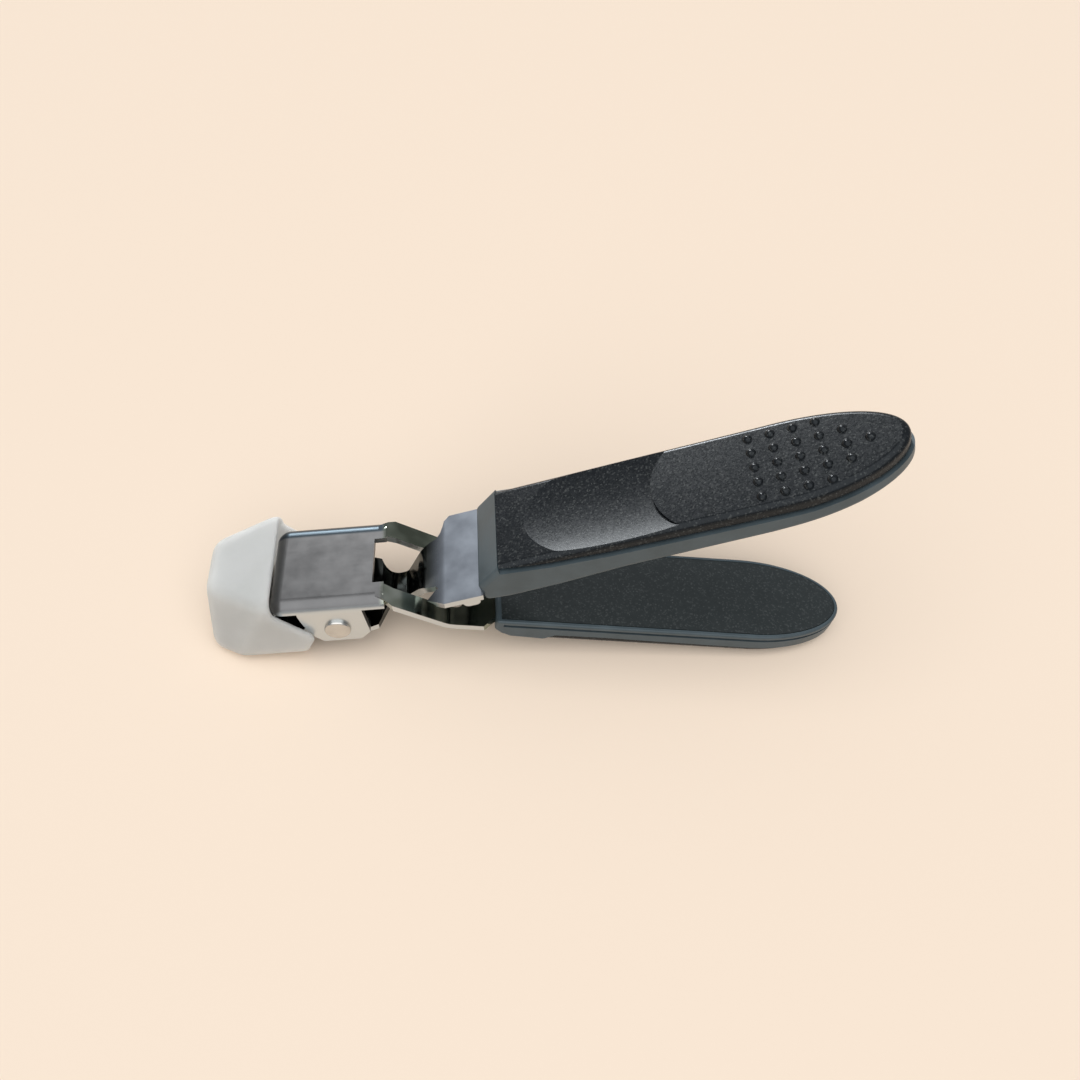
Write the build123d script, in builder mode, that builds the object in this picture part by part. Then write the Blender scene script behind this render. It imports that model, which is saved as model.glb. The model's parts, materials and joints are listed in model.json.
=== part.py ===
from build123d import *
from collections import namedtuple
from math import cos, radians, sin
import os

# Plier-type nail clipper: two steel stampings cross at a riveted pivot, each
# held in a moulded grip, with a blade guard over the jaws. Millimetres, +Z up.
#
# Head coordinates: origin on the pivot axis in the middle of the head, +X
# towards the grips, +Z towards the upper jaw. The head stands tilted in the
# model's own frame, so that guard and lower grip rest on Z = 0.

# ---- driving dimensions ----
sheet = 1.0  # thickness of both stampings
running_gap = 0.05  # radial clearance of everything that turns on the rivet
edge_gap = 0.05  # left between the cutting edges when the jaws are closed
close_angle = 8.5  # degrees of squeeze from open to closed jaws

# Placement of the head on the resting surface
rest_tilt = 8.587  # head's X axis rises by this angle
rest_height = 7.525  # pivot axis above the resting surface
rest_shift = -30.5  # pivot axis along X

# Upper jaw frame: channel over the head, arms and tang for the lower grip
head_half_width = 8.0
plate_top = 5.49
plate_back = 7.6
blade_front = -9.45
upper_edge = 1.2  # height of the upper cutting edge
shoulder_radius = 2.2
ear_front = -4.9
ear_back = 4.6
ear_bottom = -3.1
wall_edge = 3.95  # lower edge of the shoulders where there is no ear
arm_angle = -37.25  # slope of the arms behind the head
window_front = 5.89
window_end = 18.4
window_half_width = 4.11
window_back_half_width = 4.75

# Lower jaw lever: blade, floor and cheeks, neck, tang for the upper grip
floor_top = -2.2
lever_front = -9.5
cheek_half_width = 6.65  # outer face of the cheeks
cheek_radius = 3.0
tang_half_width = 8.3
tang_in_grip = 5.6  # half-width of both tangs inside the grips
tang_length = 36.0  # from the base of a grip's top face
# The lower cutting edge, jaws open, swings up to the upper one by close_angle
edge_rise = -lever_front * sin(radians(close_angle))
lower_edge = (upper_edge - edge_gap - edge_rise) / cos(radians(close_angle))

# Pivot
rivet_radius = 1.0
rivet_head_radius = 1.95
rivet_head_height = 0.55
washer_thickness = 0.25
sleeve_radius = 1.3
spring_wire = 0.28  # radius of the wire
spring_turns = 9
spring_radius = 1.68  # of the wire's centre line
spring_leg_reach = -5.4

# Grips, measured from the base of the top face
upper_grip_x = 24.65
upper_grip_z = 10.7
upper_grip_angle = 13.7
lower_grip_x = 23.5
lower_grip_z = -2.07
lower_grip_angle = -13.3
grip_straight = 41.0  # where the elliptical end starts
tip_bend_start = 38.0  # the outer face bends from here to the tip
lower_grip_depth = 4.6  # outer face below the inner face
pad_inset = 0.45  # step from the body's side to the cover's side
pad_rounding = 1.0
body_rounding = 0.9
liner_thickness = 0.5
liner_inset = 0.6
liner_gap = 0.12
groove_height = 0.5
groove_depth = 1.0
pin_radius = 1.1
pin_places = (12.0, 27.0)

# Side lines of the grips, measured from the base of the outer face: the front
# block, the seam under the outer cover, and the inner face
upper_front = [(-3.86, -2.87), (0, 0)]
upper_seam = [(0.1, -0.3), (7.5, -1.25), (16, -1.7), (32, -1.9), (44, -1.95), (53, -1.5), (61, -0.8)]
upper_inner = [(-3.86, -6.2), (0, -6.6), (7.5, -6.4), (17, -5.7), (38, -5.3), (50, -4.5), (61, -3.3)]
lower_front = [(0, -2.4), (1.0, -1.5), (2.6, -0.8), (7.5, -0.5)]
lower_seam = [(7.6, -0.8), (9.5, -2.0), (17, -2.1), (27, -1.9), (40, -1.7), (61, -1.6)]
lower_inner = [(0, -4.6), (61, -4.6)]
lower_groove = [(1.2, -3.4), (61, -3.4)]  # top of the groove near the inner face

# Thumb dish and dots on the outer covers
dish_start = 4.2
dish_end = 32.0
dish_depth = 0.75
dish_half_width = 9.0
pad_disc_radius = 9.0
pad_disc_centre = 32.5
dot_start = 37.7
dot_pitch = 3.16
dot_cross_pitch = 2.70
dot_rows = (5, 5, 5, 5, 3, 1)
dot_radius = 0.72
dot_height = 0.48

# Blade guard
guard_wall = 1.0
guard_half_width = 9.2
guard_top = 7.9
guard_bottom = -5.2
guard_front = -20.2
guard_top_front = -18.2
guard_rounding = 2.2
guard_bottom_section = (-16.6, 7.3)
guard_top_section = (-8.8, 4.4)
guard_mouth = [(-8.4, 12), (-8.4, 5.1), (-4.0, 0.0), (-3.5, -1.2), (-6.2, -6.0), (-6.2, -12)]


def local_frame(parent, x, z, angle):
    """Frame in the side plane of its parent, turned up by angle degrees."""
    turn = radians(angle)
    return Plane(
        origin=parent.from_local_coords(Vector(x, 0, z)),
        x_dir=parent.x_dir * cos(turn) + parent.z_dir * sin(turn),
        z_dir=parent.z_dir * cos(turn) - parent.x_dir * sin(turn),
    )


def side_view(frame, y=0.0):
    """Sketch plane with the frame's X and Z as its axes, at offset y."""
    origin = frame.from_local_coords(Vector(0, y, 0))
    return Plane(origin=origin, x_dir=frame.x_dir, z_dir=-frame.y_dir)


def front_view(frame, x):
    """Sketch plane with the frame's Y and Z as its axes, facing +X."""
    origin = frame.from_local_coords(Vector(x, 0, 0))
    return Plane(origin=origin, x_dir=frame.y_dir, z_dir=frame.x_dir)


def point_on(frame, x, z):
    """Side-plane point of a frame in head coordinates."""
    place = head.to_local_coords(frame.from_local_coords(Vector(x, 0, z)))
    return (place.X, place.Z)


# A grip moulding: half-widths at its front and where its rounded end starts,
# and the level of its outer face at the tip
Moulding = namedtuple("Moulding", "frame length half_widths tip_level")

table = Plane.XY
head = local_frame(table, rest_shift, rest_height, rest_tilt)
upper_grip = local_frame(head, upper_grip_x, upper_grip_z, upper_grip_angle)
# The lower grip is the same kind of moulding, turned over: its frame lies on
# its inner face, and the outer face looks down.
lower_grip = local_frame(head, lower_grip_x, lower_grip_z, lower_grip_angle)

lower_outer = Plane(
    origin=lower_grip.from_local_coords(Vector(0, 0, -lower_grip_depth)),
    x_dir=lower_grip.x_dir,
    z_dir=-lower_grip.z_dir,
)
upper_moulding = Moulding(upper_grip, 59.2, (7.9, 8.1), 1.3)
lower_moulding = Moulding(lower_outer, 56.8, (7.6, 7.85), -0.7)

head_x = Axis(head.origin, head.x_dir)
head_z = Axis(head.origin, head.z_dir)

os.makedirs("parts", exist_ok=True)


def mirrored_outline(points):
    """Closed polyline through points and their mirror images in X."""
    back = [(x, -y) for x, y in reversed(points)]
    return Polyline(*points, *back, close=True)


# ---- upper jaw frame ----
upper_tang_start = point_on(lower_grip, -6.9, -0.75)
upper_tang_end = point_on(lower_grip, tang_length, -1.05)

with BuildPart() as head_shell:
    # Channel with rounded shoulders and nose, open at the bottom and back
    with BuildSketch(side_view(head)):
        with Locations(((blade_front + plate_back) / 2, 0)):
            Rectangle(plate_back - blade_front, 2 * plate_top)
    extrude(amount=head_half_width, both=True)
    nose = head_shell.faces().sort_by(head_x)[0]
    fillet(nose.edges().filter_by(head_z), radius=shoulder_radius)
    top_edges = head_shell.faces().sort_by(head_z)[-1].edges()
    fillet(top_edges.sort_by(head_x)[:-1], radius=shoulder_radius - 0.1)
    openings = [
        head_shell.faces().sort_by(head_z)[0],
        head_shell.faces().sort_by(head_x)[-1],
    ]
    offset(amount=-sheet, openings=openings)

with BuildPart() as kept_walls:
    # Region of the channel that is left: plate, nose wall and pivot ears
    with BuildSketch(side_view(head)):
        with BuildLine():
            ear = Polyline(
                (blade_front - 1, plate_top + 1),
                (blade_front - 1, wall_edge),
                (ear_front - 0.4, wall_edge),
            )
            front_curve = ThreePointArc(ear @ 1, (ear_front + 0.15, 0.9), (ear_front + 1.2, -1.9))
            Polyline(
                front_curve @ 1,
                (ear_front + 2.3, ear_bottom),
                (ear_back - 1.6, ear_bottom),
                (ear_back, ear_bottom + 1.6),
                (ear_back - 0.35, wall_edge),
                (plate_back + 1, wall_edge),
                (plate_back + 1, plate_top + 1),
                ear @ 0,
            )
        make_face()
    extrude(amount=head_half_width + 1, both=True)
    # Nose wall down to the cutting edge
    with BuildSketch(side_view(head)):
        with BuildLine():
            Polyline(
                (blade_front - 1, wall_edge + 1),
                (blade_front - 1, upper_edge),
                (blade_front + sheet + 0.05, upper_edge),
                (blade_front + sheet + 0.05, wall_edge + 1),
                close=True,
            )
        make_face()
    extrude(amount=head_half_width - shoulder_radius, both=True)

with BuildPart() as arms:
    # Strip that leaves the plate, bends down and becomes the tang
    with BuildSketch(side_view(head)):
        with BuildLine():
            run = (plate_top - upper_tang_start[1]) / -sin(radians(arm_angle))
            reach = plate_back + run * cos(radians(arm_angle))
            path = FilletPolyline(
                (window_front - 1.5, plate_top),
                (plate_back, plate_top),
                (reach, upper_tang_start[1]),
                upper_tang_end,
                radius=(1.6, 4.0),
            )
            offset(path, amount=sheet, side=Side.RIGHT)
        make_face()
    extrude(amount=head_half_width, both=True)

with BuildPart() as arms_outline:
    # Plan of the arms and the tang, seen along the head's Z axis
    with BuildSketch(head.offset(-20)):
        with BuildLine():
            mirrored_outline(
                [
                    (window_front + 0.5, head_half_width - 1.4),
                    (plate_back + 0.1, head_half_width - 0.7),
                    (plate_back + 1.2, head_half_width),
                    (lower_grip_x - 2.0, head_half_width),
                    (lower_grip_x - 0.9, tang_in_grip + 1.2),
                    (lower_grip_x + 0.4, tang_in_grip),
                    (lower_grip_x + tang_length + 5, tang_in_grip),
                ]
            )
        make_face()
        with BuildLine():
            mirrored_outline(
                [
                    (window_front, window_half_width),
                    (window_front + 3, window_back_half_width),
                    (window_end, window_back_half_width),
                ]
            )
        make_face(mode=Mode.SUBTRACT)
    extrude(amount=40)
    corners = arms_outline.edges().filter_by(head_z)
    window_corners = corners.filter_by(
        lambda edge: abs(head.to_local_coords(edge.center()).Y) < window_back_half_width + 0.1
        and head.to_local_coords(edge.center()).X < window_end + 0.1
    )
    fillet(window_corners, radius=0.9)

with BuildPart() as upper_jaw_frame:
    add(head_shell.part)
    add(kept_walls.part, mode=Mode.INTERSECT)
    # Window in the plate's back edge
    with BuildSketch(head.offset(plate_top - 2 * sheet)):
        with Locations(((window_front + plate_back + 2) / 2, 0)):
            Rectangle(plate_back + 2 - window_front, 2 * window_half_width)
    extrude(amount=4 * sheet, mode=Mode.SUBTRACT)
    # Bevel behind the cutting edge
    with BuildSketch(side_view(head)):
        with BuildLine():
            Polyline(
                (blade_front + 0.12, upper_edge - 0.1),
                (blade_front + sheet + 0.1, upper_edge - 0.1),
                (blade_front + sheet + 0.1, upper_edge + 1.9),
                close=True,
            )
        make_face()
    extrude(amount=head_half_width, both=True, mode=Mode.SUBTRACT)
    add(arms.part.intersect(arms_outline.part))
    # Pivot holes through both ears
    with BuildSketch(side_view(head)):
        Circle(rivet_radius + running_gap)
    extrude(amount=head_half_width + 1, both=True, mode=Mode.SUBTRACT)
    # Holes for the pins of the lower grip
    for place in pin_places:
        with BuildSketch(lower_grip.offset(-4)):
            with Locations((place, 0)):
                Circle(pin_radius)
        extrude(amount=6, mode=Mode.SUBTRACT)
upper_jaw_frame.part.label = "upper_jaw_frame"
export_step(upper_jaw_frame.part, "parts/upper_jaw_frame.step")

# ---- lower jaw lever ----
tang_level = -4.1  # top of the tang below the upper grip's top face
tang_rise = 1.1  # the tang rises by this much inside the grip
lug_underside = 3.05
neck_points = [
    (lever_front, lower_edge),
    (lever_front, floor_top - sheet),
    (6.3, floor_top - sheet),
    (8.3, -1.9),
    (10.7, -1.75),
    (13.35, 1.85),
]
with BuildPart() as strip:
    with BuildSketch(side_view(head)):
        with BuildLine():
            # The underside of the strip, from the cutting edge to the tang
            path = FilletPolyline(
                *neck_points,
                point_on(upper_grip, -9.6, tang_level - sheet),
                point_on(upper_grip, 1.5, tang_level - sheet),
                point_on(upper_grip, 9.0, tang_level - sheet + tang_rise),
                point_on(upper_grip, tang_length, tang_level - sheet + tang_rise),
                radius=(1.3, 1.6, 1.2, 1.6, 3.0, 1.8, 3.0, 3.0),
            )
            offset(path, amount=sheet, side=Side.LEFT)
        make_face()
    extrude(amount=tang_half_width + 0.2, both=True)

with BuildPart() as strip_outline:
    # Plan of the lever seen along the head's Z axis
    with BuildSketch(head.offset(-20)):
        with BuildLine():
            rear = Polyline(
                (lever_front - 0.5, cheek_half_width),
                (4.6, cheek_half_width),
                (5.6, cheek_half_width - 0.35),
            )
            neck = Spline(
                rear @ 1,
                (6.9, 3.6),
                (8.4, 2.25),
                (10.2, 2.45),
                (12.6, 3.65),
                (15.0, 4.5),
            )
            far_corner = Polyline(neck @ 1, (15.7, 5.4), (16.1, 6.6), (16.3, 7.4), (17.1, tang_half_width))
            Polyline(
                far_corner @ 1,
                (22.2, tang_half_width),
                (22.4, tang_in_grip),
                (70, tang_in_grip),
                (70, 0),
                (lever_front - 0.5, 0),
                rear @ 0,
            )
        make_face()
        mirror(about=Plane.XZ)
        # Pointed lug on the near side of the tang
        with BuildLine():
            Polyline(
                (16.4, -tang_half_width),
                (13.7, -6.5),
                (15.2, -5.1),
                (18.0, -5.1),
                (18.0, -tang_half_width),
                close=True,
            )
        make_face()
    extrude(amount=50)

with BuildPart() as lower_jaw_lever:
    add(strip.part.intersect(strip_outline.part))
    # Cheeks on both sides of the floor, round about the pivot
    for side in (-1, 1):
        outer = side * cheek_half_width
        with BuildSketch(side_view(head, outer)):
            with BuildLine():
                Polyline(
                    (-6.4, floor_top - 0.4),
                    (-5.0, floor_top + 1.3),
                    (-cheek_radius, 0),
                    (cheek_radius, 0),
                    (4.2, -1.4),
                    (4.5, floor_top - 0.4),
                    close=True,
                )
            make_face()
            Circle(cheek_radius)
        extrude(amount=side * sheet)
    # Bevel in front of the cutting edge
    with BuildSketch(side_view(head)):
        with BuildLine():
            Polyline(
                (lever_front + 0.12, lower_edge + 0.1),
                (lever_front + sheet + 0.1, lower_edge + 0.1),
                (lever_front + sheet + 0.1, lower_edge - 1.7),
                close=True,
            )
        make_face()
    extrude(amount=head_half_width, both=True, mode=Mode.SUBTRACT)
    # The lug is thinned from below, so that it clears the arm when the jaws close
    with BuildSketch(side_view(head, -tang_in_grip + 0.5)):
        with Locations((13.5, lug_underside / 2)):
            Rectangle(3, lug_underside)
    extrude(amount=tang_half_width, mode=Mode.SUBTRACT)
    # Small tabs bent down from the edges of the tang
    for side in (-1, 1):
        edge_plane = side_view(upper_grip, side * tang_half_width)
        with BuildSketch(edge_plane):
            with Locations((-5.6, tang_level - 0.9)):
                RectangleRounded(2.6, 1.8, 0.8)
        extrude(amount=side * 0.8)
    with BuildSketch(side_view(head)):
        Circle(rivet_radius + running_gap)
    extrude(amount=cheek_half_width + 1, both=True, mode=Mode.SUBTRACT)
    for place in pin_places:
        with BuildSketch(upper_grip.offset(tang_level - 2)):
            with Locations((place, 0)):
                Circle(pin_radius)
        extrude(amount=5, mode=Mode.SUBTRACT)
lower_jaw_lever.part.label = "lower_jaw_lever"
export_step(lower_jaw_lever.part, "parts/lower_jaw_lever.step")

# ---- pivot ----
far_end = head_half_width + 0.75
with BuildPart() as pivot_rivet:
    with BuildSketch(side_view(head, far_end)):
        Circle(rivet_radius)
    extrude(amount=far_end + head_half_width + 0.2)
    with BuildSketch(side_view(head, -head_half_width)):
        Circle(rivet_head_radius)
    extrude(amount=rivet_head_height)
    rim = pivot_rivet.faces().sort_by(Axis.Y)[0].edges()
    fillet(rim, radius=0.3)
    # The far end is swaged wider over its collar
    with BuildSketch(side_view(head, far_end)):
        Circle(rivet_radius + 0.45)
    extrude(amount=-0.45)
    peened = pivot_rivet.faces().sort_by(Axis.Y)[-1].edges()
    fillet(peened, radius=0.35)
pivot_rivet.part.label = "pivot_rivet"
export_step(pivot_rivet.part, "parts/pivot_rivet.step")

with BuildPart() as rivet_collar:
    with BuildSketch(side_view(head, head_half_width)):
        Circle(rivet_head_radius)
        Circle(rivet_radius, mode=Mode.SUBTRACT)
    extrude(amount=-0.75)
    collar_rim = rivet_collar.faces().sort_by(Axis.Y)[-1].edges().sort_by(SortBy.LENGTH)[-1]
    chamfer(collar_rim, length=0.2)
rivet_collar.part.label = "rivet_collar"
export_step(rivet_collar.part, "parts/rivet_collar.step")

with BuildPart() as pivot_washers:
    for side in (-1, 1):
        inner_face = head_half_width - sheet - 0.03
        with BuildSketch(side_view(head, side * inner_face)):
            Circle(cheek_radius - 0.3)
            Circle(rivet_radius + running_gap, mode=Mode.SUBTRACT)
        extrude(amount=side * washer_thickness)
pivot_washers.part.label = "pivot_washers"
export_step(pivot_washers.part, "parts/pivot_washers.step")

with BuildPart() as pivot_sleeve:
    half_length = cheek_half_width - sheet - 0.05
    with BuildSketch(side_view(head)):
        Circle(sleeve_radius)
        Circle(rivet_radius + running_gap, mode=Mode.SUBTRACT)
    extrude(amount=half_length, both=True)
pivot_sleeve.part.label = "pivot_sleeve"
export_step(pivot_sleeve.part, "parts/pivot_sleeve.step")

with BuildPart() as torsion_spring:
    # Close-wound coil: overlapping rings of wire
    pitch = 2 * spring_wire - 0.06
    with BuildSketch(front_view(head, 0)):
        with GridLocations(pitch, 1, spring_turns, 1):
            with Locations((0, spring_radius)):
                Circle(spring_wire)
    revolve(axis=Axis(head.origin, head.y_dir))
    coil_end = (spring_turns - 1) / 2 * pitch
    # One leg bears under the plate, the other on the floor of the lever
    legs = (
        (coil_end, spring_radius, plate_top - sheet - spring_wire - 0.04),
        (-coil_end, -spring_radius, floor_top + spring_wire + 0.04),
    )
    for y, start, end in legs:
        root = head.from_local_coords(Vector(0, y, start))
        tip = head.from_local_coords(Vector(spring_leg_reach, y, end))
        with BuildSketch(Plane(origin=root, z_dir=tip - root)):
            Circle(spring_wire)
        extrude(amount=(tip - root).length)
torsion_spring.part.label = "torsion_spring"
export_step(torsion_spring.part, "parts/torsion_spring.step")


# ---- grips ----
def grip_block(moulding, upper, lower, inset=0.0):
    """Block with a moulding's plan, kept between two lines of the side view.

    The frame's Z axis points out of the outer face, which starts at x = 0. With
    no upper line the block ends in that face, flat and then bent to the tip.
    """
    frame = moulding.frame
    front = moulding.half_widths[0] - inset
    rear = moulding.half_widths[1] - inset
    length = moulding.length - inset
    with BuildPart(mode=Mode.PRIVATE) as block:
        with BuildSketch(frame.offset(-15)):
            with BuildLine():
                Polyline(
                    (grip_straight, -rear),
                    (-6, -front),
                    (-6, front),
                    (grip_straight, rear),
                )
                EllipticalCenterArc(
                    (grip_straight, 0),
                    length - grip_straight,
                    rear,
                    start_angle=-90,
                    arc_size=180,
                )
            make_face()
        extrude(amount=30)
        with BuildSketch(side_view(frame)):
            with BuildLine():
                if upper is None:
                    flat = Line((lower[0][0], 0), (tip_bend_start, 0))
                    bend = TangentArc(flat @ 1, (moulding.length, moulding.tip_level), tangent=flat % 1)
                    Polyline(bend @ 1, *lower[::-1], flat @ 0)
                else:
                    Polyline(*upper, *lower[::-1], close=True)
            make_face()
        extrude(amount=rear + 2, both=True, mode=Mode.INTERSECT)
    return block.part


def groove(moulding, line):
    """Ring cut into a moulding's sides, groove_height tall, with its top on a line."""
    below = [(x, z - groove_height) for x, z in line]
    core = grip_block(moulding, line, below, groove_depth)
    return grip_block(moulding, line, below, -0.5).cut(core)


def outer_rim(block, moulding):
    """Edges around the outer face, without those that run across the grip."""
    frame = moulding.frame
    lowest = min(0, moulding.tip_level) - 0.1

    def on_rim(edge):
        middle = frame.to_local_coords(edge @ 0.5)
        across = abs((edge % 0.5).dot(frame.y_dir)) > 0.99 and middle.X < grip_straight + 2
        return middle.Z > lowest and not across

    return block.edges().filter_by(on_rim)


def inner_rim(block, moulding, inner_line):
    """Edges around the inner face, without those that run across the grip."""
    frame = moulding.frame

    def level(x):
        ends = zip(inner_line, inner_line[1:])
        for (x0, z0), (x1, z1) in ends:
            if x <= x1:
                return z0 + (z1 - z0) * (x - x0) / (x1 - x0)

    def on_rim(edge):
        middle = frame.to_local_coords(edge @ 0.5)
        across = abs((edge % 0.5).dot(frame.y_dir)) > 0.99 and middle.X < grip_straight + 2
        return middle.Z < level(middle.X) + 0.1 and not across

    return block.edges().filter_by(on_rim)


def front_rim(block, moulding, reach):
    """Edges of the front block ahead of x = reach."""
    return block.edges().filter_by(
        lambda edge: moulding.frame.to_local_coords(edge @ 0.5).X < reach
    )


def dish_barrel(frame):
    """Shallow barrel that sinks the thumb dish, kept off the round pad behind it."""
    middle = (dish_start + dish_end) / 2
    height = dish_half_width**2 / (2 * dish_depth)
    with BuildPart(mode=Mode.PRIVATE) as barrel:
        with BuildSketch(side_view(frame)):
            with BuildLine():
                bottom = ThreePointArc((dish_start, 0), (middle, -dish_depth), (dish_end, 0))
                Polyline(bottom @ 1, (dish_end, height), (dish_start, height), bottom @ 0)
            make_face()
        lift = frame.from_local_coords(Vector(0, 0, height))
        revolve(axis=Axis(lift, frame.x_dir))
        with BuildSketch(frame.offset(-dish_depth - 1)):
            with Locations((pad_disc_centre, 0)):
                Circle(pad_disc_radius)
        extrude(amount=dish_depth + 2, taper=-15, mode=Mode.SUBTRACT)
    return barrel.part


def add_dots(moulding):
    """Raise the dots on the part being built: rows across, shorter at the tip."""
    bend_length = moulding.length - tip_bend_start
    ball = (dot_radius**2 + dot_height**2) / (2 * dot_height)
    for row, count in enumerate(dot_rows):
        x = dot_start + row * dot_pitch
        level = moulding.tip_level * (max(0, x - tip_bend_start) / bend_length) ** 2
        with Locations(moulding.frame.offset(dot_height - ball + level)):
            with Locations((x, 0, 0)):
                with GridLocations(1, dot_cross_pitch, 1, count):
                    Sphere(ball)


def tang_pins(frame, low, high):
    """Pins along the grip's middle, through its tang."""
    with BuildPart(mode=Mode.PRIVATE) as pins:
        with BuildSketch(frame.offset(low)):
            with Locations(*[(place, 0) for place in pin_places]):
                Circle(pin_radius)
        extrude(amount=high - low)
    return pins.part


with BuildPart() as upper_tang_pins:
    add(tang_pins(upper_grip, -4.5, -2.1))
upper_tang_pins.part.label = "upper_tang_pins"
export_step(upper_tang_pins.part, "parts/upper_tang_pins.step")

with BuildPart() as lower_tang_pins:
    add(tang_pins(lower_grip, -2.3, -0.55))
lower_tang_pins.part.label = "lower_tang_pins"
export_step(lower_tang_pins.part, "parts/lower_tang_pins.step")

# Liners lie in a recess of the inner face, behind the front block
upper_recess_floor = [(x, z + liner_thickness) for x, z in upper_inner[1:]]
lower_recess_inner = [(0.8, -lower_grip_depth), (61, -lower_grip_depth)]
lower_recess_floor = [(x, z + liner_thickness) for x, z in lower_recess_inner]
upper_recess = grip_block(upper_moulding, upper_recess_floor, upper_inner[1:], liner_inset)
with BuildPart() as upper_grip_liner:
    add(grip_block(upper_moulding, upper_recess_floor, upper_inner[1:], liner_inset + liner_gap))
upper_grip_liner.part.label = "upper_grip_liner"
export_step(upper_grip_liner.part, "parts/upper_grip_liner.step")

with BuildPart() as upper_grip_body:
    add(grip_block(upper_moulding, upper_front + upper_seam, upper_inner))
    fillet(inner_rim(upper_grip_body, upper_moulding, upper_inner), radius=body_rounding)
    fillet(front_rim(upper_grip_body, upper_moulding, -0.05), radius=body_rounding)
    add(upper_recess, mode=Mode.SUBTRACT)
    add(groove(upper_moulding, upper_seam), mode=Mode.SUBTRACT)
    add(lower_jaw_lever.part, mode=Mode.SUBTRACT)
    add(upper_tang_pins.part, mode=Mode.SUBTRACT)
upper_grip_body.part.label = "upper_grip_body"
export_step(upper_grip_body.part, "parts/upper_grip_body.step")

with BuildPart() as upper_grip_pad:
    add(grip_block(upper_moulding, None, [(0.1, -8), (61, -8)], pad_inset))
    fillet(outer_rim(upper_grip_pad, upper_moulding), radius=pad_rounding)
    with BuildSketch(side_view(upper_grip)):
        with BuildLine():
            Polyline(*upper_seam, (61, -9), (0, -9), (0, -0.3), close=True)
        make_face()
    extrude(amount=2 * head_half_width, both=True, mode=Mode.SUBTRACT)
    add(dish_barrel(upper_grip), mode=Mode.SUBTRACT)
    add_dots(upper_moulding)
upper_grip_pad.part.label = "upper_grip_pad"
export_step(upper_grip_pad.part, "parts/upper_grip_pad.step")

lower_recess = grip_block(lower_moulding, lower_recess_floor, lower_recess_inner, liner_inset)
with BuildPart() as lower_grip_liner:
    add(grip_block(lower_moulding, lower_recess_floor, lower_recess_inner, liner_inset + liner_gap))
lower_grip_liner.part.label = "lower_grip_liner"
export_step(lower_grip_liner.part, "parts/lower_grip_liner.step")

with BuildPart() as lower_grip_body:
    add(grip_block(lower_moulding, lower_front + lower_seam, lower_inner))
    fillet(inner_rim(lower_grip_body, lower_moulding, lower_inner), radius=liner_inset * 0.6)
    fillet(front_rim(lower_grip_body, lower_moulding, 7.0), radius=liner_inset)
    add(lower_recess, mode=Mode.SUBTRACT)
    add(groove(lower_moulding, lower_groove), mode=Mode.SUBTRACT)
    add(upper_jaw_frame.part, mode=Mode.SUBTRACT)
    add(lower_tang_pins.part, mode=Mode.SUBTRACT)
lower_grip_body.part.label = "lower_grip_body"
export_step(lower_grip_body.part, "parts/lower_grip_body.step")

with BuildPart() as lower_grip_pad:
    add(grip_block(lower_moulding, None, [(7.6, -8), (61, -8)], pad_inset))
    fillet(outer_rim(lower_grip_pad, lower_moulding), radius=pad_rounding)
    with BuildSketch(side_view(lower_outer)):
        with BuildLine():
            Polyline(*lower_seam, (61, -9), (7.5, -9), (7.5, -0.8), close=True)
        make_face()
    extrude(amount=2 * head_half_width, both=True, mode=Mode.SUBTRACT)
    add(dish_barrel(lower_outer), mode=Mode.SUBTRACT)
    add_dots(lower_moulding)
lower_grip_pad.part.label = "lower_grip_pad"
export_step(lower_grip_pad.part, "parts/lower_grip_pad.step")

# ---- blade guard ----
def guard_block(wall):
    """Body of the guard, narrower at the top and the front, shrunk by the wall.

    Each section gives where its sides start to close in and its nose's half width.
    """
    levels = (
        (guard_bottom + wall, guard_front + wall, *guard_bottom_section),
        (guard_top - wall, guard_top_front + wall, *guard_top_section),
    )
    with BuildPart(mode=Mode.PRIVATE) as block:
        for level, front, shoulder, nose_width in levels:
            with BuildSketch(head.offset(level)):
                with BuildLine():
                    corners = [
                        (2, guard_half_width - wall),
                        (shoulder, guard_half_width - wall),
                        (front, nose_width - wall / 2),
                    ]
                    mirrored = [(x, -y) for x, y in reversed(corners)]
                    FilletPolyline(*corners, *mirrored, radius=(3.5, 3.0, 3.0, 3.5))
                    Line((2, -guard_half_width + wall), (2, guard_half_width - wall))
                make_face()
        loft()
        caps = block.faces().sort_by(head_z)
        rounded = caps[0].edges().sort_by(head_x)[:-1] + caps[-1].edges().sort_by(head_x)[:-1]
        fillet(rounded, radius=guard_rounding - wall * 0.8)
    return block.part


with BuildPart() as blade_guard:
    add(guard_block(0))
    add(guard_block(guard_wall), mode=Mode.SUBTRACT)
    # Mouth, cut on a slant from the plate's front edge down to the ears
    with BuildSketch(side_view(head)):
        with BuildLine():
            Polyline(*guard_mouth, (5, -12), (5, 12), close=True)
        make_face()
    extrude(amount=guard_half_width + 2, both=True, mode=Mode.SUBTRACT)
    # Flat land where the guard rests on the table
    with BuildSketch(table):
        Rectangle(4 * -rest_shift, 4 * guard_half_width)
    extrude(amount=guard_bottom, mode=Mode.SUBTRACT)
blade_guard.part.label = "blade_guard"
export_step(blade_guard.part, "parts/blade_guard.step")
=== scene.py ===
import json
import math

import bpy
from mathutils import Matrix, Vector

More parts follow.
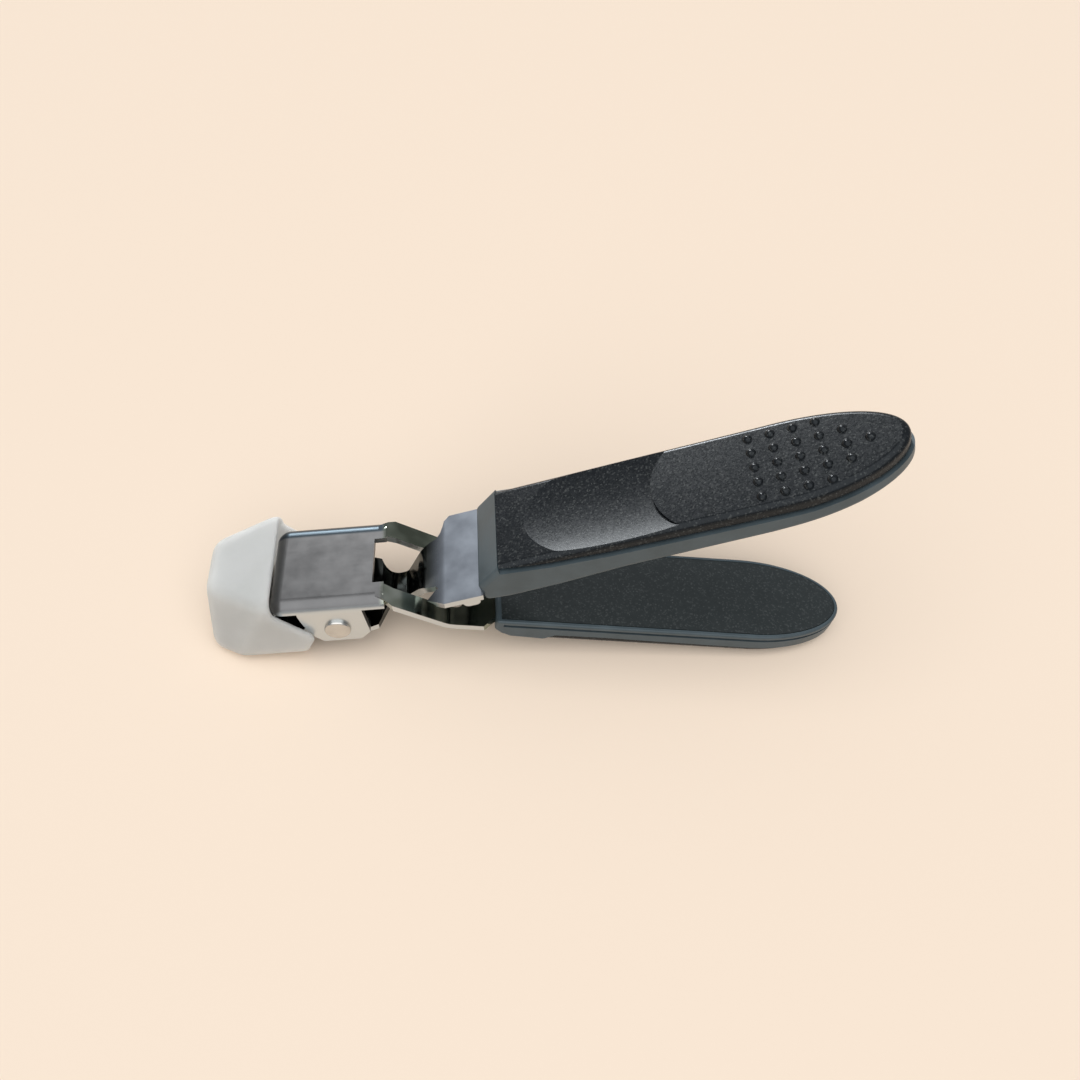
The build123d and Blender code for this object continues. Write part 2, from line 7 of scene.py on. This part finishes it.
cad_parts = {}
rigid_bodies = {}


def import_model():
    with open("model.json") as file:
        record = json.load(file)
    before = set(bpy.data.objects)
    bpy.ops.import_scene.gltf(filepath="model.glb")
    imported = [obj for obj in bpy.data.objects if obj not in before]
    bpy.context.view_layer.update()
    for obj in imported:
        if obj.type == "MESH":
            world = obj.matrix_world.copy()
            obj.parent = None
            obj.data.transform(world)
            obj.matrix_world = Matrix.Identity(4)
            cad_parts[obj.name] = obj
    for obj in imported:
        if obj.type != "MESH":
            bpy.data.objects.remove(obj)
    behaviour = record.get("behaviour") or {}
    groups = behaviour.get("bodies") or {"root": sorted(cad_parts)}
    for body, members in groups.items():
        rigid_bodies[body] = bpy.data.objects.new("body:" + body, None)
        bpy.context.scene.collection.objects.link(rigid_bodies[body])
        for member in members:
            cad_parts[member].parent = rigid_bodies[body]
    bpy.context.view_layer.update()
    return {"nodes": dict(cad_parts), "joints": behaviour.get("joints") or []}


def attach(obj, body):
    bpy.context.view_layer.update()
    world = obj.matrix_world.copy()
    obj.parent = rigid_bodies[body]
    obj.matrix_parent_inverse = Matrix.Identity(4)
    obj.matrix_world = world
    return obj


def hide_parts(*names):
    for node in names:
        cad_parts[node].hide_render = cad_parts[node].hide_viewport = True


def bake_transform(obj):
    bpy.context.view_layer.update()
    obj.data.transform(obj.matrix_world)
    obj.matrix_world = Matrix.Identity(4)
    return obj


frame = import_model()
nodes = frame["nodes"]

# ---- the head's own axes, as the model is built: +X to the grips, +Z to the upper jaw ----
PIVOT = Vector(frame["joints"][0]["pos_m"])
SLIDE_AXIS = frame["joints"][1]["axis"]
HEAD_TILT = math.atan2(-SLIDE_AXIS[2], -SLIDE_AXIS[0])
HEAD = Matrix.Translation(PIVOT) @ Matrix.Rotation(-HEAD_TILT, 4, "Y")
MM = 0.001


# ---------------------------------------------------------------- materials
# Texture scales are in cycles per metre
STEEL_CLOUDS = 260.0
STEEL_GRAIN = 900.0
ALONG_THE_TOOL = (0.12, 1.0, 1.0)
GRAIN_DEPTH = 0.06
# Scale of the patches of painted reflection on polished steel
REFLECTION_PATCHES = 170.0
# Painted dark-blue reflection on the plate's far fold, blended in over this many millimetres
PAINTED_FOLD_REFLECTION = (0.034, 0.046, 0.056, 1)
FOLD_REFLECTION_BLEND = 0.5
# Painted lighter reflection on steel faces turned sideways
PAINTED_SIDE_SHEEN = (0.58, 0.62, 0.64, 1)
POLISHED_ROUGHNESS = (0.11, 0.11, 0.11, 1)
SIDEWAYS_ROUGHNESS = (0.3, 0.3, 0.3, 1)
FLAKES = 4600.0
FLAKE_THRESHOLD = 0.78
FLAKE_ROUGHNESS_SPREAD = 0.05
COOL_SHINE = (0.86, 0.94, 1.0, 1)
COOL_SATIN_SHINE = (0.84, 0.94, 1.0, 1)

# Colour sockets of the Mix node
MIX_FACTOR = 0
MIX_FIRST = 6
MIX_SECOND = 7
MIX_RESULT = 2


def material(name, **sockets):
    """Material with a Principled shader whose sockets are set from the keywords."""
    made = bpy.data.materials.new(name)
    made.use_nodes = True
    shader = made.node_tree.nodes["Principled BSDF"]
    for socket, value in sockets.items():
        shader.inputs[socket.replace("_", " ")].default_value = value
    return made


class Graph:
    """Short names for adding nodes to one material."""

    def __init__(self, made):
        self.tree = made.node_tree
        self.shader = self.tree.nodes["Principled BSDF"]
        self.place = self.tree.nodes.new("ShaderNodeTexCoord").outputs["Object"]

    def link(self, source, target):
        self.tree.links.new(source, target)

    def noise(self, scale, detail, rough, stretch=None):
        node = self.tree.nodes.new("ShaderNodeTexNoise")
        node.inputs["Scale"].default_value = scale
        node.inputs["Detail"].default_value = detail
        node.inputs["Roughness"].default_value = rough
        self.link(self.stretched(stretch), node.inputs["Vector"])
        return node.outputs["Fac"]

    def stretched(self, stretch):
        if stretch is None:
            return self.place
        mapping = self.tree.nodes.new("ShaderNodeMapping")
        mapping.inputs["Scale"].default_value = stretch
        self.link(self.place, mapping.inputs["Vector"])
        return mapping.outputs["Vector"]

    def cells(self, scale):
        """A random colour for each small cell."""
        node = self.tree.nodes.new("ShaderNodeTexVoronoi")
        node.inputs["Scale"].default_value = scale
        self.link(self.place, node.inputs["Vector"])
        return node.outputs["Color"]

    def ramp(self, source, *stops):
        """Colour ramp through (position, colour or grey) stops."""
        node = self.tree.nodes.new("ShaderNodeValToRGB")
        elements = node.color_ramp.elements
        while len(elements) < len(stops):
            elements.new(0.5)
        for element, (position, value) in zip(elements, stops):
            element.position = position
            grey = isinstance(value, (int, float))
            element.color = (value, value, value, 1) if grey else (*value, 1)
        self.link(source, node.inputs["Fac"])
        return node.outputs["Color"]

    def mix(self, factor, first, second):
        """First where the factor is 0 and second where it is 1, as colours."""
        node = self.tree.nodes.new("ShaderNodeMix")
        node.data_type = "RGBA"
        for socket, value in ((MIX_FACTOR, factor), (MIX_FIRST, first), (MIX_SECOND, second)):
            if isinstance(value, bpy.types.NodeSocket):
                self.link(value, node.inputs[socket])
            else:
                node.inputs[socket].default_value = value
        return node.outputs[MIX_RESULT]

    def part(self, vector, axis):
        """One of a vector's three numbers."""
        node = self.tree.nodes.new("ShaderNodeSeparateXYZ")
        self.link(vector, node.inputs[0])
        return node.outputs[axis]

    def normal(self):
        return self.tree.nodes.new("ShaderNodeTexCoord").outputs["Normal"]

    def between(self, value, low, high):
        """0 at low, 1 at high and smooth in between. High may be the smaller."""
        node = self.tree.nodes.new("ShaderNodeMapRange")
        node.interpolation_type = "SMOOTHSTEP"
        node.inputs["From Min"].default_value = low
        node.inputs["From Max"].default_value = high
        self.link(value, node.inputs["Value"])
        return node.outputs["Result"]

    def unsigned(self, value):
        """A number without its sign."""
        node = self.tree.nodes.new("ShaderNodeMath")
        node.operation = "ABSOLUTE"
        self.link(value, node.inputs[0])
        return node.outputs[0]

    def bump(self, height, strength, distance=0.0001):
        node = self.tree.nodes.new("ShaderNodeBump")
        node.inputs["Strength"].default_value = strength
        node.inputs["Distance"].default_value = distance
        self.link(height, node.inputs["Height"])
        self.link(node.outputs["Normal"], self.shader.inputs["Normal"])

    def colour(self, source):
        self.link(source, self.shader.inputs["Base Color"])

    def roughness(self, source):
        self.link(source, self.shader.inputs["Roughness"])

    def steel_clouds(self):
        return self.noise(STEEL_CLOUDS, 4.0, 0.6)

    def steel_grain(self):
        """Faint rolling lines along the tool."""
        self.bump(self.noise(STEEL_GRAIN, 2.0, 0.5, stretch=ALONG_THE_TOOL), GRAIN_DEPTH)


def steel(name, low, high, rough_low, rough_high):
    """Metal with faint grain along the tool and a cloudy polish."""
    made = material(name, Metallic=1.0)
    graph = Graph(made)
    cloud = graph.steel_clouds()
    graph.colour(graph.ramp(cloud, (0.3, low), (0.7, high)))
    graph.roughness(graph.ramp(cloud, (0.25, rough_low), (0.75, rough_high)))
    graph.steel_grain()
    return made


def stamping_steel(name, satin, painted_reflection_tones, axis, start, end, painted_fold_from=None):
    """Sheet steel that is satin on one side of a level and polished past it, with painted dark
    reflections as the polished colour.

    The change runs from start to end along an axis of the model, in millimetres.
    Faces turned sideways get a lighter painted reflection than the rest. The satin fold past the
    given Y level, if there is one, gets a painted dark-blue reflection.
    """
    made = material(name, Metallic=1.0)
    graph = Graph(made)
    cloud = graph.steel_clouds()
    patches = graph.noise(REFLECTION_PATCHES, 2.0, 0.5, stretch=(0.5, 1.0, 1.0))
    level = graph.part(graph.place, axis)
    polished = graph.between(level, start * MM, end * MM)
    face = graph.ramp(cloud, (0.3, satin[0]), (0.7, satin[1]))
    # The polished colour is painted reflection, dark and light in patches
    painted_mirror = graph.ramp(patches, (0.35, painted_reflection_tones[0]), (0.55, painted_reflection_tones[1]), (0.72, painted_reflection_tones[2]))
    # Faces turned sideways get a lighter painted reflection
    sideways = graph.unsigned(graph.part(graph.normal(), "Y"))
    side_sheen_mask = graph.between(sideways, 0.75, 0.95)
    if painted_fold_from is not None:
        # The far fold gets a painted dark-blue reflection
        fold = graph.between(graph.part(graph.place, "Y"), painted_fold_from * MM, (painted_fold_from + FOLD_REFLECTION_BLEND) * MM)
        face = graph.mix(fold, face, PAINTED_FOLD_REFLECTION)
    both = graph.mix(polished, face, painted_mirror)
    graph.colour(graph.mix(side_sheen_mask, both, PAINTED_SIDE_SHEEN))
    rough_face = graph.ramp(cloud, (0.25, 0.30), (0.75, 0.38))
    rough = graph.mix(polished, rough_face, POLISHED_ROUGHNESS)
    graph.roughness(graph.mix(side_sheen_mask, rough, SIDEWAYS_ROUGHNESS))
    graph.steel_grain()
    return made


def flake_plastic(name, base, lift, sparkle, rough, shine):
    """Dark moulded plastic with fine metallic flakes in it."""
    made = material(name, Specular_IOR_Level=shine, Specular_Tint=COOL_SHINE)
    graph = Graph(made)
    split = graph.tree.nodes.new("ShaderNodeSeparateColor")
    graph.link(graph.cells(FLAKES), split.inputs[0])
    bright = graph.ramp(split.outputs[0], (FLAKE_THRESHOLD, 0.0), (1.0, 1.0))
    ground = graph.mix(graph.noise(420.0, 4.0, 0.65), (*base, 1), (*lift, 1))
    graph.colour(graph.mix(bright, ground, (*sparkle, 1)))
    smoother = rough - FLAKE_ROUGHNESS_SPREAD
    rougher = rough + FLAKE_ROUGHNESS_SPREAD
    graph.roughness(graph.ramp(split.outputs[1], (0.0, smoother), (1.0, rougher)))
    graph.bump(split.outputs[2], 0.08, 0.00003)
    return made


def satin_plastic(name, low, high, rough_low, rough_high):
    """Satin moulded plastic or rubber with a fine texture and slight mottling."""
    made = material(name, Specular_IOR_Level=0.5, Specular_Tint=COOL_SATIN_SHINE)
    graph = Graph(made)
    cloud = graph.noise(180.0, 4.0, 0.6)
    graph.colour(graph.ramp(cloud, (0.3, low), (0.7, high)))
    graph.roughness(graph.ramp(cloud, (0.3, rough_low), (0.7, rough_high)))
    graph.bump(graph.noise(900.0, 5.0, 0.6), 0.15)
    return made


# The plate is satin and the arms behind it are polished, coloured with painted dark reflections
frame_steel = stamping_steel(
    "frame_steel",
    satin=((0.135, 0.135, 0.137), (0.160, 0.160, 0.162)),
    painted_reflection_tones=((0.12, 0.135, 0.105), (0.30, 0.33, 0.27), (0.60, 0.62, 0.58)),
    axis="X",
    start=-24.6,
    end=-23.4,
    # Painted dark-blue reflection on the far fold past this Y level in millimetres
    painted_fold_from=5.3,
)
# The tang is satin and the neck below it is polished, coloured with painted dark reflection and
# shade
lever_steel = stamping_steel(
    "lever_steel",
    satin=((0.25, 0.275, 0.315), (0.30, 0.33, 0.375)),
    painted_reflection_tones=((0.035, 0.038, 0.034), (0.08, 0.085, 0.08), (0.30, 0.31, 0.30)),
    axis="Z",
    start=14.5,
    end=12.5,
)
rivet_steel = steel("rivet_steel", (0.45, 0.44, 0.42), (0.62, 0.61, 0.58), 0.16, 0.28)
wire_steel = steel("wire_steel", (0.35, 0.35, 0.35), (0.48, 0.48, 0.48), 0.2, 0.35)
brass = steel("washer_brass", (0.55, 0.42, 0.18), (0.72, 0.58, 0.28), 0.25, 0.4)
cover = flake_plastic(
    "grip_cover",
    base=(0.003, 0.0038, 0.005),
    lift=(0.007, 0.0085, 0.0105),
    sparkle=(0.04, 0.043, 0.043),
    rough=0.27,
    shine=0.24,
)
body = satin_plastic("grip_body", (0.040, 0.055, 0.063), (0.061, 0.082, 0.094), 0.34, 0.46)
liner = flake_plastic(
    "grip_liner",
    base=(0.007, 0.010, 0.010),
    lift=(0.015, 0.019, 0.019),
    sparkle=(0.04, 0.045, 0.045),
    rough=0.45,
    shine=0.5,
)

guard_look = material(
    "guard_plastic",
    Subsurface_Weight=0.95,
    Subsurface_Radius=(1.0, 1.0, 1.0),
    Subsurface_Scale=0.006,
    IOR=1.46,
    Specular_IOR_Level=0.35,
)
graph = Graph(guard_look)
haze = graph.noise(120.0, 4.0, 0.55)
graph.colour(graph.ramp(haze, (0.3, (0.43, 0.44, 0.43)), (0.7, (0.49, 0.50, 0.49))))
graph.roughness(graph.ramp(haze, (0.3, 0.5), (0.7, 0.62)))
graph.bump(graph.noise(700.0, 4.0, 0.6), 0.1)

LOOKS = {
    "upper_jaw_frame": frame_steel,
    "lower_jaw_lever": lever_steel,
    "pivot_rivet": rivet_steel,
    "rivet_collar": rivet_steel,
    "pivot_sleeve": rivet_steel,
    "pivot_washers": brass,
    "torsion_spring": wire_steel,
    "upper_tang_pins": rivet_steel,
    "lower_tang_pins": rivet_steel,
    "upper_grip_body": body,
    "lower_grip_body": body,
    "upper_grip_pad": cover,
    "lower_grip_pad": cover,
    "upper_grip_liner": liner,
    "lower_grip_liner": liner,
    "blade_guard": guard_look,
}
for name, look in LOOKS.items():
    mesh = nodes[name].data
    mesh.materials.clear()
    mesh.materials.append(look)


# ---------------------------------------------------------------- torsion spring
def head_point(x, y, z):
    """A point given in head millimetres, in the model's frame."""
    return HEAD @ Vector((x * MM, y * MM, z * MM))


def wound_spring():
    """Coil round the rivet, with a leg under the plate and one on the lever's floor."""
    full_turns = 8
    steps_per_turn = 28
    steps = full_turns * steps_per_turn + steps_per_turn // 2
    coil_radius = 1.68
    wire_radius = 0.22
    half_width = 2.0
    leg_reach = -5.2
    upper_leg_end, upper_leg_middle = 4.0, 3.1
    lower_leg_end, lower_leg_middle = -1.85, -1.75
    points = [
        (leg_reach, half_width, upper_leg_end),
        (leg_reach / 2, half_width, upper_leg_middle),
    ]
    for step in range(steps + 1):
        angle = math.radians(90) - 2 * math.pi * step / steps_per_turn
        share = step / steps
        points.append(
            (
                coil_radius * math.cos(angle),
                half_width * (1 - 2 * share),
                coil_radius * math.sin(angle),
            )
        )
    points += [
        (leg_reach / 2, -half_width, lower_leg_middle),
        (leg_reach, -half_width, lower_leg_end),
    ]
    curve = bpy.data.curves.new("wound_spring", "CURVE")
    curve.dimensions = "3D"
    curve.bevel_depth = wire_radius * MM
    curve.bevel_resolution = 4
    curve.use_fill_caps = True
    line = curve.splines.new("POLY")
    line.points.add(len(points) - 1)
    for point, place in zip(line.points, points):
        point.co = (*head_point(*place), 1)
    made = bpy.data.objects.new("wound_spring_curve", curve)
    bpy.context.collection.objects.link(made)
    bpy.context.view_layer.update()
    evaluated = made.evaluated_get(bpy.context.evaluated_depsgraph_get())
    mesh = bpy.data.meshes.new_from_object(evaluated)
    bpy.data.objects.remove(made)
    spring = bpy.data.objects.new("wound_spring", mesh)
    mesh.shade_smooth()
    mesh.materials.clear()
    mesh.materials.append(wire_steel)
    bpy.context.collection.objects.link(spring)
    return spring


spring = wound_spring()
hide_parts("torsion_spring")
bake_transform(spring)


# ---------------------------------------------------------------- blade guard
def softened(node, name, voxel, rounds):
    """Copy of a CAD node's mesh with evenly spread points and softened edges."""
    copy = bpy.data.objects.new(name, nodes[node].data.copy())
    bpy.context.collection.objects.link(copy)
    remesh = copy.modifiers.new("even", "REMESH")
    remesh.mode = "VOXEL"
    remesh.voxel_size = voxel * MM
    smooth = copy.modifiers.new("soften", "SMOOTH")
    smooth.factor = 0.5
    smooth.iterations = rounds
    bpy.context.view_layer.update()
    evaluated = copy.evaluated_get(bpy.context.evaluated_depsgraph_get())
    mesh = bpy.data.meshes.new_from_object(evaluated)
    copy.modifiers.clear()
    copy.data = mesh
    mesh.shade_smooth()
    mesh.materials.clear()
    mesh.materials.append(LOOKS[node])
    return copy


guard = softened("blade_guard", "frosted_guard", voxel=0.25, rounds=28)
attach(guard, "guard")
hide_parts("blade_guard")

# ---------------------------------------------------------------- camera
# Angles and target are in the head's own axes
CAM_AZIMUTH = math.radians(0.578)
CAM_ELEVATION = math.radians(51.03)
CAM_ROLL = math.radians(-4.841)
CAM_TARGET = Vector((30.93, 0.0, 7.24)) * MM
CAM_DISTANCE = 150.9 * MM
CAM_LENS = 34.05

back = Vector(
    (
        math.sin(CAM_AZIMUTH) * math.cos(CAM_ELEVATION),
        -math.cos(CAM_AZIMUTH) * math.cos(CAM_ELEVATION),
        math.sin(CAM_ELEVATION),
    )
)
level = Vector((math.cos(CAM_AZIMUTH), math.sin(CAM_AZIMUTH), 0))
upright = back.cross(level)
right = math.cos(CAM_ROLL) * level + math.sin(CAM_ROLL) * upright
up = math.cos(CAM_ROLL) * upright - math.sin(CAM_ROLL) * level
turn = Matrix((right, up, back)).transposed().to_4x4()
camera_data = bpy.data.cameras.new("camera")
camera_data.lens = CAM_LENS
camera_data.sensor_width = 36.0
camera_data.clip_start = 0.01
camera = bpy.data.objects.new("camera", camera_data)
bpy.context.collection.objects.link(camera)
camera.matrix_world = HEAD @ Matrix.Translation(CAM_TARGET + back * CAM_DISTANCE) @ turn
bpy.context.scene.camera = camera

# ---------------------------------------------------------------- floor and light
floor_look = material("floor", Base_Color=(0.93, 0.775, 0.63, 1), Roughness=0.8)
floor_mesh = bpy.data.meshes.new("floor")
half_floor = 1.5
corners = [
    (-half_floor, -half_floor, 0),
    (half_floor, -half_floor, 0),
    (half_floor, half_floor, 0),
    (-half_floor, half_floor, 0),
]
floor_mesh.from_pydata(corners, [], [(0, 1, 2, 3)])
floor_mesh.materials.append(floor_look)
floor = bpy.data.objects.new("floor", floor_mesh)
bpy.context.collection.objects.link(floor)


def soft_sun(name, azimuth, elevation, spread, power):
    """Even light from one side. Azimuth 0 is behind the object (+Y), 90 is -X."""
    data = bpy.data.lights.new(name, "SUN")
    data.angle = math.radians(spread)
    data.energy = power
    light = bpy.data.objects.new(name, data)
    a = math.radians(azimuth)
    e = math.radians(elevation)
    towards = Vector((-math.sin(a) * math.cos(e), math.cos(a) * math.cos(e), math.sin(e)))
    light.rotation_euler = towards.to_track_quat("Z", "Y").to_euler()
    bpy.context.collection.objects.link(light)
    return light


# The light from behind reaches the clipper alone, so the floor stays even
clipper = bpy.data.collections.new("clipper")
for thing in bpy.context.scene.objects:
    if thing.type == "MESH" and thing != floor:
        clipper.objects.link(thing)
low_behind = soft_sun("low_behind", azimuth=14, elevation=26, spread=11, power=2.1)
low_behind.light_linking.receiver_collection = clipper
soft_sun("over_camera", azimuth=165, elevation=62, spread=90, power=2.42)

world = bpy.data.worlds.new("world")
world.use_nodes = True
background = world.node_tree.nodes["Background"]
background.inputs["Color"].default_value = (0.96, 0.98, 1.0, 1)
background.inputs["Strength"].default_value = 0.36
bpy.context.scene.world = world
bpy.context.scene.view_settings.view_transform = "Standard"
